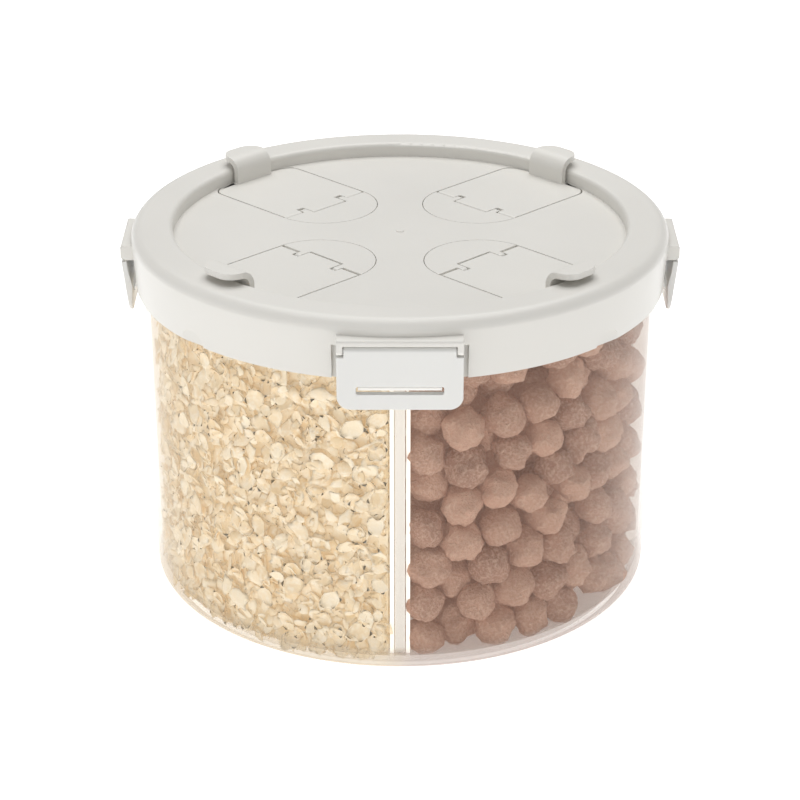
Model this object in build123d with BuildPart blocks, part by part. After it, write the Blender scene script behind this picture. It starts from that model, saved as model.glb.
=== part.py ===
from build123d import *
from math import atan, cos, degrees, radians, sin, sqrt
import os

# Round four-compartment cereal dispenser: clear tub, cross divider, clip-down lid with four
# flip covers. Millimetres, +Z up, origin at the centre of the face the tub stands on.
# The front of the container looks along -Y. The pour covers lie on the diagonals.

# ---- tub ---------------------------------------------------------------------------------
tub_top_radius = 88.2
tub_base_radius = 87.0
tub_height = 121.3
tub_wall = 1.8
tub_corner_radius = 5.0
tub_inner_corner_radius = 3.0
tub_floor_top = 4.0
tub_floor_thickness = 2.2
foot_ring_width = 1.7
foot_ring_draft = 1.0
rail_width = 1.3
rail_depth = 4.0
rail_top = 106.0

# ---- cross divider -----------------------------------------------------------------------
panel_thickness = 2.4
panel_bead_width = 3.4
panel_bead_depth = 3.6
panel_floor_gap = 0.3
panel_wall_gap = 0.5
panel_lid_gap = 0.4
panel_slide_gap = 0.3
cut_margin = 1.0

# ---- lid ---------------------------------------------------------------------------------
lid_radius = 91.7
lid_height_over_tub = 6.7
skirt_height = 20.5
skirt_draft = 1.2
skirt_wall = 1.8
rim_inner_radius = 77.5
rim_outer_round = 4.3
rim_inner_round = 1.8
rim_wall = 2.0
plate_recess = 5.0
plate_thickness = 2.2
collar_wall = 1.5
collar_tub_gap = 1.2
collar_depth = 13.0
seal_gap = 0.2
seal_side_gap = 0.15
scallop_width = 11.0
scallop_height = 4.6
scallop_azimuth = 48.0
scallop_depth = 1.1
gate_mark_radius = 1.3
gate_mark_height = 0.35

# ---- pour hatches ------------------------------------------------------------------------
hatch_count = 4
hatch_half_width = 19.0
hatch_arc_centre = 38.0
hatch_pivot_radius = 38.6
hatch_depth = 5.5
hatch_floor_thickness = 1.5
hatch_wall = 1.5
hatch_outer_gap = 0.2
pour_start = 46.0
pour_end = 72.0
pour_half_width = 14.0
pour_corner = 4.0
pour_lip_width = 1.4
pour_lip_height = 1.2
cover_thickness = 2.0
cover_gap = 0.4
cover_corner = 5.0
cover_barrel_radius = 1.4
cover_pin_radius = 0.7
pivot_fit = 0.08
ear_start = 7.9
ear_width = 2.4
ear_gap = 0.3
tongue_reach = 3.6
tongue_sweep_gap = 0.55
hinge_plate_gap = 0.15
hinge_plate_edge_gap = 0.35
hinge_plate_wall = 1.6
tab_width = 16.0
tab_thickness = 2.2
tab_wall_gap = 1.3
tab_rim_gap = 2.1
tab_overhang = 7.0
tab_bend = 3.0
tab_corner = 6.0
cover_seal_width = 2.8
cover_seal_gap = 0.1

# ---- side latches ------------------------------------------------------------------------
latch_count = 4
latch_wide = 39.8
latch_narrow = 27.0
latch_thickness = 1.9
latch_drop = 20.8
latch_lean = 6.5
latch_barrel_radius = 1.45
latch_pivot_depth = 4.0
latch_pin_radius = 0.8
latch_pin_length = 1.3
pin_end_gap = 0.3
latch_skirt_gap = 0.4
latch_corner = 4.5
latch_side_gap = 0.3
latch_web_width = 1.4
latch_web_depth = 0.6
latch_slot_margin = 6.1
latch_slot_height = 2.6
latch_slot_drop = 13.8
latch_foot_tip = 1.1
catch_height = 1.8
catch_tip_height = 0.7
catch_ramp_rise = 0.4
catch_end_gap = 0.6
catch_tip_gap = 0.25
roof_thickness = 2.0
roof_gap = 0.3
roof_round = 0.9
knuckle_width = 2.0
recess_depth = 0.8
recess_margin = 1.55

# ---- derived levels and radii ------------------------------------------------------------
lid_top = tub_height + lid_height_over_tub
skirt_bottom = lid_top - skirt_height
plate_top = lid_top - plate_recess
plate_bottom = plate_top - plate_thickness
rim_ceiling = lid_top - rim_wall
tub_inner_top = tub_top_radius - tub_wall
tub_inner_base = tub_base_radius - tub_wall
collar_outer = tub_inner_top - collar_tub_gap
collar_inner = collar_outer - collar_wall
collar_bottom = rim_ceiling - collar_depth

hatch_floor = plate_top - hatch_depth
hatch_pivot_height = plate_top - cover_barrel_radius
hatch_edge = hatch_pivot_radius - cover_barrel_radius - hinge_plate_edge_gap
hatch_reach = rim_inner_radius - hatch_outer_gap
cover_half_width = hatch_half_width - cover_gap
cover_reach = hatch_reach - cover_gap
cover_bottom = plate_top - cover_thickness
hatch_angles = [45 + 360 / hatch_count * i for i in range(hatch_count)]
hatch_names = ["back_right", "back_left", "front_left", "front_right"]


def skirt_radius(height):
    """Outer radius of the lid's drafted skirt at a height."""
    drafted = skirt_height - rim_outer_round
    return lid_radius - skirt_draft * (lid_top - rim_outer_round - height) / drafted


latch_names = ["right", "back", "left", "front"]
latch_angles = [0, 90, 180, 270]
latch_widths = [latch_narrow, latch_wide, latch_narrow, latch_wide]
latch_pivot_height = plate_top - latch_pivot_depth
latch_pivot_radius = skirt_radius(latch_pivot_height) + latch_skirt_gap + latch_barrel_radius
latch_inner_face = latch_thickness - latch_barrel_radius
catch_middle = latch_pivot_height - latch_slot_drop * cos(radians(latch_lean))
roof_bottom = latch_pivot_height + latch_barrel_radius + roof_gap
roof_front = latch_pivot_radius + latch_barrel_radius


def latch_face_radius(drop, offset):
    """Radius of a point on the leaning flap, from its distance down and its offset outward."""
    lean = radians(latch_lean)
    return latch_pivot_radius - drop * sin(lean) + offset * cos(lean)


catch_tip = latch_face_radius(latch_slot_drop, -latch_inner_face) - catch_tip_gap

os.makedirs("parts", exist_ok=True)


def save(solid, name):
    """Labels a finished sub-part and writes it as its own file."""
    solid.label = name
    export_step(solid, f"parts/{name}.step")


# ---- tub: drafted shell on a foot ring, four pairs of guide rails, four latch catches -------
foot_outer = tub_base_radius - tub_corner_radius
foot_inner = foot_outer - foot_ring_width
floor_underside = tub_floor_top - tub_floor_thickness
rail_inner = tub_inner_base - rail_depth
rail_outer = tub_base_radius - tub_wall / 2
rail_offset = panel_bead_width / 2 + panel_slide_gap + rail_width / 2

with BuildPart() as tub:
    with BuildSketch(Plane.XZ):
        with BuildLine():
            Polyline(
                (0, floor_underside),
                (foot_inner - foot_ring_draft, floor_underside),
                (foot_inner, 0),
                (foot_outer, 0),
            )
            RadiusArc((foot_outer, 0), (tub_base_radius, tub_corner_radius), -tub_corner_radius)
            Polyline(
                (tub_base_radius, tub_corner_radius),
                (tub_top_radius, tub_height),
                (tub_inner_top, tub_height),
                (tub_inner_base, tub_floor_top + tub_inner_corner_radius),
            )
            RadiusArc(
                (tub_inner_base, tub_floor_top + tub_inner_corner_radius),
                (tub_inner_base - tub_inner_corner_radius, tub_floor_top),
                tub_inner_corner_radius,
            )
            Polyline(
                (tub_inner_base - tub_inner_corner_radius, tub_floor_top),
                (0, tub_floor_top),
                (0, floor_underside),
            )
        make_face()
    revolve(axis=Axis.Z)
    fillet(tub.edges().filter_by(GeomType.CIRCLE).group_by(Axis.Z)[-1], tub_wall / 4)

    with BuildSketch(Plane.XY.offset(tub_floor_top - tub_floor_thickness / 2)):
        with PolarLocations((rail_inner + rail_outer) / 2, latch_count):
            with Locations((0, rail_offset), (0, -rail_offset)):
                Rectangle(rail_outer - rail_inner, rail_width)
    extrude(amount=rail_top - tub_floor_top + tub_floor_thickness / 2)

    # each catch is flat underneath and ramped on top, so that a latch coming down rides over it
    catch_base = catch_middle - catch_height / 2
    catch_shoulder = catch_middle + catch_height / 2 + catch_ramp_rise
    for width, angle in zip(latch_widths, latch_angles):
        catch_width = width - 2 * latch_slot_margin - 2 * catch_end_gap
        with BuildPart(mode=Mode.PRIVATE) as catch:
            with BuildSketch(Plane.XZ.offset(-catch_width / 2)):
                with BuildLine():
                    Polyline(
                        (0, catch_base),
                        (catch_tip, catch_base),
                        (catch_tip, catch_base + catch_tip_height),
                        (tub_top_radius, catch_shoulder),
                        (0, catch_shoulder),
                        (0, catch_base),
                    )
                make_face()
            extrude(amount=catch_width)
            with BuildSketch(Plane.XY.offset(catch_base)):
                Circle(tub_inner_top + tub_wall / 3)
            extrude(amount=catch_height + catch_ramp_rise, mode=Mode.SUBTRACT)
        add(catch.part.rotate(Axis.Z, angle))

save(tub.part, "tub")

# ---- cross divider: two equal panels, half-lapped where they cross --------------------------
panel_bottom = tub_floor_top + panel_floor_gap
panel_top = plate_bottom - panel_lid_gap
panel_height = panel_top - panel_bottom
panel_half = tub_inner_base - panel_wall_gap
panel_corner = tub_inner_corner_radius + panel_wall_gap
panel_middle = (panel_bottom + panel_top) / 2
lap_height = panel_middle
lap_width = panel_thickness + 2 * panel_slide_gap
collar_notch_width = panel_half - (collar_inner - panel_wall_gap)
collar_notch_depth = panel_top - (collar_bottom - panel_wall_gap)


def divider_panel(plane, lap_from, lap_to):
    """One upright panel with a bead along each end, and the slot where the other one crosses."""
    with BuildPart() as panel:
        with BuildSketch(plane):
            with Locations((0, panel_middle)):
                Rectangle(2 * panel_half, panel_height)
        extrude(amount=panel_thickness / 2, both=True)
        with BuildSketch(plane):
            with Locations((0, panel_middle)):
                Rectangle(2 * panel_half, panel_height)
                Rectangle(2 * (panel_half - panel_bead_depth), panel_height, mode=Mode.SUBTRACT)
        extrude(amount=panel_bead_width / 2, both=True)
        with BuildSketch(plane):
            for side in (-1, 1):
                notch_middle = side * (panel_half - collar_notch_width / 2)
                with Locations((notch_middle, panel_top - collar_notch_depth / 2)):
                    Rectangle(collar_notch_width, collar_notch_depth)
                with Locations((side * panel_half, panel_bottom)):
                    Rectangle(panel_corner * sqrt(2), panel_corner * sqrt(2), rotation=45)
            with Locations((0, (lap_from + lap_to) / 2)):
                Rectangle(lap_width, lap_to - lap_from)
        extrude(amount=panel_bead_width, both=True, mode=Mode.SUBTRACT)
    return panel.part


save(divider_panel(Plane.XZ, lap_height, panel_top + cut_margin), "divider_lower_panel")
upper_lap = lap_height + panel_floor_gap
save(divider_panel(Plane.YZ, panel_bottom - cut_margin, upper_lap), "divider_upper_panel")


# ---- hatch outlines: a half round toward the lid's centre, straight sides, an arc at the rim --
def hatch_outline(half_width, reach, corner):
    """Plan outline of one hatch along local +X, written into the sketch that calls it."""
    with BuildSketch(mode=Mode.PRIVATE) as outline:
        with Locations((hatch_arc_centre, 0)):
            Circle(half_width)
        with Locations((hatch_arc_centre + lid_radius / 2, 0)):
            Rectangle(lid_radius, 2 * half_width)
        Circle(reach, mode=Mode.INTERSECT)
        if corner > 0:
            fillet(outline.vertices().group_by(Axis.X)[-1], corner)
    return outline.sketch


def pour_outline(margin, corner):
    """Plan outline of the pour opening along local +X, grown by a margin."""
    with BuildSketch(mode=Mode.PRIVATE) as outline:
        with Locations(((pour_start + pour_end) / 2, 0)):
            RectangleRounded(pour_end - pour_start + 2 * margin, 2 * (pour_half_width + margin), corner)
    return outline.sketch


# ---- lid ---------------------------------------------------------------------------------
crown_outer = lid_radius - rim_outer_round
skirt_foot_radius = skirt_radius(skirt_bottom)
skirt_inner_top = lid_radius - skirt_wall
ceiling_round = rim_outer_round - rim_wall
channel_inner = rim_inner_radius + rim_wall

with BuildPart() as lid:
    with BuildSketch(Plane.XZ):
        with BuildLine():
            Polyline((0, skirt_bottom), (0, plate_top), (rim_inner_radius, plate_top))
            Line((rim_inner_radius, plate_top), (rim_inner_radius, lid_top - rim_inner_round))
            RadiusArc(
                (rim_inner_radius, lid_top - rim_inner_round),
                (rim_inner_radius + rim_inner_round, lid_top),
                rim_inner_round,
            )
            Line((rim_inner_radius + rim_inner_round, lid_top), (crown_outer, lid_top))
            RadiusArc((crown_outer, lid_top), (lid_radius, lid_top - rim_outer_round), rim_outer_round)
            Polyline(
                (lid_radius, lid_top - rim_outer_round),
                (skirt_foot_radius, skirt_bottom),
                (0, skirt_bottom),
            )
        make_face()
    revolve(axis=Axis.Z)

    # a shallow recess in the skirt behind each latch
    recess_floor = skirt_foot_radius - recess_depth
    for width, angle in zip(latch_widths, latch_angles):
        with BuildSketch(Plane.XY.offset(skirt_bottom)):
            with Locations(Location((0, 0, 0), (0, 0, angle))):
                with Locations((lid_radius, 0)):
                    Rectangle(lid_radius, width + 2 * recess_margin)
            Circle(recess_floor, mode=Mode.SUBTRACT)
        extrude(amount=latch_pivot_height - skirt_bottom, mode=Mode.SUBTRACT)

    # latch lugs: a round-nosed roof over each latch, with a knuckle under each of its ends
    lug_root = recess_floor - skirt_wall / 3
    for width, angle in zip(latch_widths, latch_angles):
        with BuildPart(mode=Mode.PRIVATE) as lug:
            with BuildSketch(Plane.XY.offset(roof_bottom)):
                with Locations((lug_root, 0)):
                    Rectangle(roof_front - lug_root, width, align=(Align.MIN, Align.CENTER))
            extrude(amount=roof_thickness)
            nose = lug.edges().filter_by(Axis.Y).group_by(Axis.X)[-1].sort_by(Axis.Z)[-1]
            fillet(nose, roof_round)
            for side in (-1, 1):
                with BuildSketch(Plane.XZ.offset(-side * (width / 2 - knuckle_width))):
                    with Locations((latch_pivot_radius, latch_pivot_height)):
                        Circle(latch_barrel_radius)
                    with Locations((lug_root, roof_bottom + roof_thickness / 2)):
                        Rectangle(
                            latch_pivot_radius + latch_barrel_radius - lug_root,
                            roof_bottom + roof_thickness / 2 - latch_pivot_height,
                            align=(Align.MIN, Align.MAX),
                        )
                    with Locations((lug_root, latch_pivot_height + latch_barrel_radius)):
                        Rectangle(
                            latch_pivot_radius - lug_root,
                            2 * latch_barrel_radius,
                            align=(Align.MIN, Align.MAX),
                        )
                extrude(amount=-side * knuckle_width)
                with BuildSketch(Plane.XZ.offset(-side * (width / 2 - knuckle_width))):
                    with Locations((latch_pivot_radius, latch_pivot_height)):
                        Circle(latch_pin_radius + pivot_fit)
                extrude(amount=-side * (latch_pin_length + pin_end_gap), mode=Mode.SUBTRACT)
        add(lug.part.rotate(Axis.Z, angle))

    # the hollow underneath: all but the plate, the rim, the skirt and the centring collar
    with BuildSketch(Plane.XZ):
        with BuildLine():
            Polyline(
                (0, skirt_bottom - cut_margin),
                (0, plate_bottom),
                (channel_inner, plate_bottom),
                (channel_inner, rim_ceiling),
                (collar_inner, rim_ceiling),
                (collar_inner, collar_bottom),
                (collar_outer, collar_bottom),
                (collar_outer, rim_ceiling),
                (skirt_inner_top - ceiling_round, rim_ceiling),
            )
            RadiusArc(
                (skirt_inner_top - ceiling_round, rim_ceiling),
                (skirt_inner_top, rim_ceiling - ceiling_round),
                ceiling_round,
            )
            Polyline(
                (skirt_inner_top, rim_ceiling - ceiling_round),
                (skirt_foot_radius - skirt_wall, skirt_bottom),
                (skirt_foot_radius - skirt_wall, skirt_bottom - cut_margin),
                (0, skirt_bottom - cut_margin),
            )
        make_face()
    revolve(axis=Axis.Z, mode=Mode.SUBTRACT)

    # pockets for the hatches, each with a pour opening and a raised lip around it
    tray_reach = rim_inner_radius + rim_wall / 2
    for angle in hatch_angles:
        with BuildSketch(Plane.XY.offset(hatch_floor - hatch_floor_thickness)):
            add(hatch_outline(hatch_half_width + hatch_wall, tray_reach, 0), rotation=angle)
        extrude(amount=hatch_depth + hatch_floor_thickness - plate_thickness / 2)
    for angle in hatch_angles:
        with BuildSketch(Plane.XY.offset(hatch_floor)):
            add(hatch_outline(hatch_half_width, hatch_reach, cover_corner), rotation=angle)
        extrude(amount=hatch_depth, mode=Mode.SUBTRACT)
        with BuildSketch(Plane.XY.offset(hatch_floor - hatch_floor_thickness / 2)):
            add(pour_outline(pour_lip_width, pour_corner + pour_lip_width), rotation=angle)
        extrude(amount=pour_lip_height + hatch_floor_thickness / 2)
        with BuildSketch(Plane.XY.offset(hatch_floor - hatch_floor_thickness)):
            add(pour_outline(0, pour_corner), rotation=angle)
        extrude(amount=hatch_depth, mode=Mode.SUBTRACT)

    # scallops in the skirt's lower edge, each deeper at the end away from the nearer wide latch
    scallop_tilt = degrees(atan(scallop_depth / scallop_width))
    scallop_floor = skirt_foot_radius - scallop_depth / 2
    for azimuth, turn in (
        (scallop_azimuth, 1),
        (-scallop_azimuth, -1),
        (180 - scallop_azimuth, -1),
        (180 + scallop_azimuth, 1),
    ):
        scoop_plane = Plane.XZ.rotated((0, 0, azimuth))
        scoop_middle = scoop_plane.from_local_coords((0, skirt_bottom, scallop_floor))
        tilted = Plane(
            origin=scoop_middle,
            x_dir=scoop_plane.x_dir.rotate(Axis.Z, -turn * scallop_tilt),
            z_dir=scoop_plane.z_dir.rotate(Axis.Z, -turn * scallop_tilt),
        )
        with BuildSketch(tilted):
            Ellipse(scallop_width / 2, scallop_height)
        extrude(amount=skirt_wall + rim_outer_round, mode=Mode.SUBTRACT)

    # the moulding's gate mark in the middle of the plate
    with BuildSketch(Plane.XY.offset(plate_top)):
        Circle(gate_mark_radius)
    extrude(amount=gate_mark_height)

save(lid.part, "lid")

# ---- seal ring in the channel under the rim ------------------------------------------------
seal_inner = collar_outer + seal_side_gap
seal_outer = skirt_inner_top - ceiling_round - seal_side_gap
with BuildPart() as lid_seal_ring:
    with BuildSketch(Plane.XY.offset(tub_height + seal_gap)):
        Circle(seal_outer)
        Circle(seal_inner, mode=Mode.SUBTRACT)
    extrude(amount=rim_ceiling - tub_height - seal_gap)

save(lid_seal_ring.part, "lid_seal_ring")

# ---- hinge plates: fixed half-round caps whose ears carry the cover pins ---------------------
tongue_half = ear_start - ear_gap
ear_notch_half = ear_width / 2 + ear_gap
ear_middle = ear_start + ear_width / 2
ear_reach = cover_barrel_radius


def hinge_plate(angle):
    """One fixed cap over the inner half of a hatch pocket."""
    plate_half = hatch_half_width - hinge_plate_gap
    with BuildPart() as plate:
        with BuildSketch(Plane.XY.offset(hatch_floor)):
            with Locations((hatch_arc_centre, 0)):
                Circle(plate_half)
            with Locations((hatch_edge + lid_radius / 2, 0)):
                Rectangle(lid_radius, lid_radius, mode=Mode.SUBTRACT)
        extrude(amount=hatch_depth)
        with BuildSketch(Plane.XY.offset(hatch_floor)):
            with Locations((hatch_arc_centre, 0)):
                Circle(plate_half - hinge_plate_wall)
        extrude(amount=hatch_depth - cover_thickness, mode=Mode.SUBTRACT)
        notch_depth = tongue_reach + tongue_sweep_gap
        with BuildSketch(Plane.XY.offset(hatch_floor)):
            with Locations((hatch_pivot_radius - notch_depth / 2, 0)):
                Rectangle(notch_depth, 2 * tongue_half + 2 * ear_gap)
        extrude(amount=hatch_depth, mode=Mode.SUBTRACT)
        for side in (-1, 1):
            with BuildSketch(Plane.XZ.offset(-side * ear_start)):
                with Locations((hatch_pivot_radius, hatch_pivot_height)):
                    Circle(ear_reach)
                with Locations((hatch_pivot_radius, plate_top)):
                    Rectangle(
                        hatch_pivot_radius - hatch_edge + hinge_plate_wall / 2,
                        2 * cover_barrel_radius,
                        align=(Align.MAX, Align.MAX),
                    )
            extrude(amount=-side * ear_width)
            with BuildSketch(Plane.XZ.offset(-side * ear_start)):
                with Locations((hatch_pivot_radius, hatch_pivot_height)):
                    Circle(cover_pin_radius + pivot_fit)
            extrude(amount=-side * ear_width, mode=Mode.SUBTRACT)
    return plate.part.rotate(Axis.Z, angle)


for name, angle in zip(hatch_names, hatch_angles):
    save(hinge_plate(angle), f"hinge_plate_{name}")

# ---- flip covers: barrel and tongue at the pivot, finger tab bent over the rim ---------------
tab_outer_face = rim_inner_radius - tab_wall_gap
tab_inner_face = tab_outer_face - tab_thickness
tab_under = lid_top + tab_rim_gap
tab_over = tab_under + tab_thickness
tab_tip = rim_inner_radius + tab_overhang
tab_bend_radius = tab_outer_face + tab_bend
tab_bend_height = tab_under - tab_bend


def flip_cover(angle):
    """One cover along local +X, turned to its place on the lid."""
    with BuildPart() as cover:
        with BuildSketch(Plane.XY.offset(cover_bottom)):
            add(hatch_outline(cover_half_width, cover_reach, cover_corner))
            with Locations((hatch_pivot_radius - lid_radius / 2, 0)):
                Rectangle(lid_radius, lid_radius, mode=Mode.SUBTRACT)
        extrude(amount=cover_thickness)

        # barrel across the full width, tongue in its middle
        with BuildSketch(Plane.XZ.offset(-cover_half_width)):
            with Locations((hatch_pivot_radius, hatch_pivot_height)):
                Circle(cover_barrel_radius)
        extrude(amount=2 * cover_half_width)
        with BuildSketch(Plane.XZ.offset(-tongue_half)):
            with Locations((hatch_pivot_radius, plate_top)):
                Rectangle(tongue_reach, cover_thickness, align=(Align.MAX, Align.MAX))
        extrude(amount=2 * tongue_half)
        tongue_nose = cover.edges().filter_by(Axis.Y).group_by(Axis.X)[0].sort_by(Axis.Z)[-1]
        fillet(tongue_nose, cover_thickness / 3)

        # finger tab: up beside the rim's inner wall, then out over its crown
        with BuildSketch(Plane.XZ.offset(-tab_width / 2)):
            with BuildLine():
                Polyline(
                    (tab_inner_face, cover_bottom),
                    (tab_outer_face, cover_bottom),
                    (tab_outer_face, tab_bend_height),
                )
                RadiusArc((tab_outer_face, tab_bend_height), (tab_bend_radius, tab_under), tab_bend)
                Polyline(
                    (tab_bend_radius, tab_under),
                    (tab_tip, tab_under),
                    (tab_tip, tab_over),
                    (tab_bend_radius, tab_over),
                )
                RadiusArc(
                    (tab_bend_radius, tab_over),
                    (tab_inner_face, tab_bend_height),
                    -(tab_bend + tab_thickness),
                )
                Line((tab_inner_face, tab_bend_height), (tab_inner_face, cover_bottom))
            make_face()
        extrude(amount=tab_width)
        tip_corners = cover.edges().filter_by(Axis.Z).group_by(Axis.X)[-1]
        fillet(tip_corners, tab_corner)

        # room for the hinge plate's ears, and the pins that run through them
        for side in (-1, 1):
            with BuildSketch(Plane.XY.offset(cover_bottom - cover_thickness)):
                notch_reach = ear_reach + cover_gap + ear_gap
                with Locations((hatch_pivot_radius + notch_reach, side * ear_middle)):
                    Rectangle(
                        notch_reach + tongue_reach,
                        2 * ear_notch_half,
                        align=(Align.MAX, Align.CENTER),
                    )
            extrude(amount=3 * cover_thickness, mode=Mode.SUBTRACT)
        for side in (-1, 1):
            with BuildSketch(Plane.XZ.offset(-side * (tongue_half - ear_width / 2))):
                with Locations((hatch_pivot_radius, hatch_pivot_height)):
                    Circle(cover_pin_radius)
            extrude(amount=-side * (2 * ear_width + 2 * ear_gap))
    return cover.part.rotate(Axis.Z, angle)


def flip_cover_seal(angle):
    """The soft ring under one cover that presses on the pour opening's lip."""
    with BuildPart() as seal:
        with BuildSketch(Plane.XY.offset(hatch_floor + pour_lip_height + cover_seal_gap)):
            add(pour_outline(cover_seal_width / 2 + pour_lip_width / 2, pour_corner + cover_seal_width / 2))
            add(pour_outline(pour_lip_width / 2 - cover_seal_width / 2, pour_corner / 2), mode=Mode.SUBTRACT)
        extrude(amount=cover_bottom - hatch_floor - pour_lip_height - cover_seal_gap)
    return seal.part.rotate(Axis.Z, angle)


for name, angle in zip(hatch_names, hatch_angles):
    save(flip_cover(angle), f"flip_cover_{name}")
    save(flip_cover_seal(angle), f"flip_cover_seal_{name}")


# ---- side latches: leaning flaps on stub pins, slotted for the tub's catch -------------------
def latch(width, angle):
    """One latch along local +X, built upright about its pivot, leant in and turned to its place."""
    half = width / 2
    barrel_half = half - knuckle_width - latch_side_gap
    shoulder = latch_barrel_radius + latch_side_gap
    inner = latch_inner_face
    slot_low = latch_slot_drop + latch_slot_height / 2
    with BuildPart() as flap:
        with BuildSketch(Plane.XZ.offset(-half)):
            with BuildLine():
                Polyline(
                    (-inner, 0),
                    (latch_barrel_radius, 0),
                    (latch_barrel_radius, -latch_drop),
                    (latch_barrel_radius - latch_foot_tip, -latch_drop),
                    (-inner, -slot_low),
                    (-inner, 0),
                )
            make_face()
        extrude(amount=width)
        with BuildSketch(Plane.YZ.offset(-latch_thickness)):
            RectangleRounded(width, 2 * latch_drop, latch_corner)
        extrude(amount=2 * latch_thickness + latch_barrel_radius, mode=Mode.INTERSECT)

        # the barrel stops short of the lid's knuckles, with a shoulder under each of them
        with BuildSketch(Plane.XZ.offset(-barrel_half)):
            Circle(latch_barrel_radius)
        extrude(amount=2 * barrel_half)
        for side in (-1, 1):
            with BuildSketch(Plane.YZ.offset(-latch_thickness)):
                with Locations((side * half, 0)):
                    Rectangle(2 * (half - barrel_half), 2 * shoulder)
            extrude(amount=2 * latch_thickness + latch_barrel_radius, mode=Mode.SUBTRACT)
        with BuildSketch(Plane.YZ.offset(-latch_thickness)):
            with Locations((0, -latch_slot_drop)):
                RectangleRounded(width - 2 * latch_slot_margin, latch_slot_height, latch_slot_height / 4)
        extrude(amount=2 * latch_thickness + latch_barrel_radius, mode=Mode.SUBTRACT)

        # tapered webs down both ends of the flap's inner face, and the pins that it turns on
        for side in (-1, 1):
            with BuildSketch(Plane.XZ.offset(-side * (half - latch_web_width))):
                with BuildLine():
                    Polyline(
                        (0, -shoulder),
                        (-inner - latch_web_depth, -latch_slot_drop + latch_slot_height),
                        (-inner, -slot_low),
                        (0, -slot_low),
                        (0, -shoulder),
                    )
                make_face()
            extrude(amount=-side * latch_web_width)
            with BuildSketch(Plane.XZ.offset(-side * (barrel_half - latch_pin_length))):
                Circle(latch_pin_radius)
            extrude(amount=-side * (2 * latch_pin_length + latch_side_gap))
    leant = flap.part.rotate(Axis.Y, latch_lean)
    return leant.moved(Location((latch_pivot_radius, 0, latch_pivot_height))).rotate(Axis.Z, angle)


for name, width, angle in zip(latch_names, latch_widths, latch_angles):
    save(latch(width, angle), f"latch_{name}")
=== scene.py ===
"""Four-compartment cereal dispenser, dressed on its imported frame.

Every place and size comes from the frame, in metres: +Z is up and the front looks along -Y.
"""

from __future__ import annotations

import logging
import math
from dataclasses import dataclass
from enum import Enum
from typing import Callable, Sequence

import bmesh
import bpy
import numpy as np
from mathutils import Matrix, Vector, noise

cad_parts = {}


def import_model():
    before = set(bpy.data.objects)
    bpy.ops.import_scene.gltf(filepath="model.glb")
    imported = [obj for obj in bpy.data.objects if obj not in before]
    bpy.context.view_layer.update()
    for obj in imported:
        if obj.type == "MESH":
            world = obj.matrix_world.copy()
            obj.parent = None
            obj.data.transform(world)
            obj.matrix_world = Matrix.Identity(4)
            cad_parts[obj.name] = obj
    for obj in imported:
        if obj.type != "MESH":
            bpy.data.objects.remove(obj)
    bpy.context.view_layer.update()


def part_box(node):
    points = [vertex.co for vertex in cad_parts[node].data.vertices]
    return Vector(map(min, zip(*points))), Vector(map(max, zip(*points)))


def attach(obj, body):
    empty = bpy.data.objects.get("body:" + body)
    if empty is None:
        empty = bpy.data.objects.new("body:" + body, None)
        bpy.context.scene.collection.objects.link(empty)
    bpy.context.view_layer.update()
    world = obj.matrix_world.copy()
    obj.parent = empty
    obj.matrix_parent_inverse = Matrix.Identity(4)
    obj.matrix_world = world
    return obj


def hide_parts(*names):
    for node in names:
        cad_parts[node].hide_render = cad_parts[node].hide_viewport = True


MM = 0.001
WELD = 0.01 * MM
FLAT_DEGREES = 0.6
SMOOTH_DEGREES = 35.0
LOG = logging.getLogger("dispenser")
Colour = tuple[float, float, float]


class Corner(Enum):
    """The four pour hatches, by the corner that each stands at."""

    BACK_RIGHT = "back_right"
    BACK_LEFT = "back_left"
    FRONT_LEFT = "front_left"
    FRONT_RIGHT = "front_right"


class Side(Enum):
    """The four side latches, by the side that each hangs on."""

    RIGHT = "right"
    BACK = "back"
    LEFT = "left"
    FRONT = "front"


# ---- shader finishes ---------------------------------------------------------------------


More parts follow.
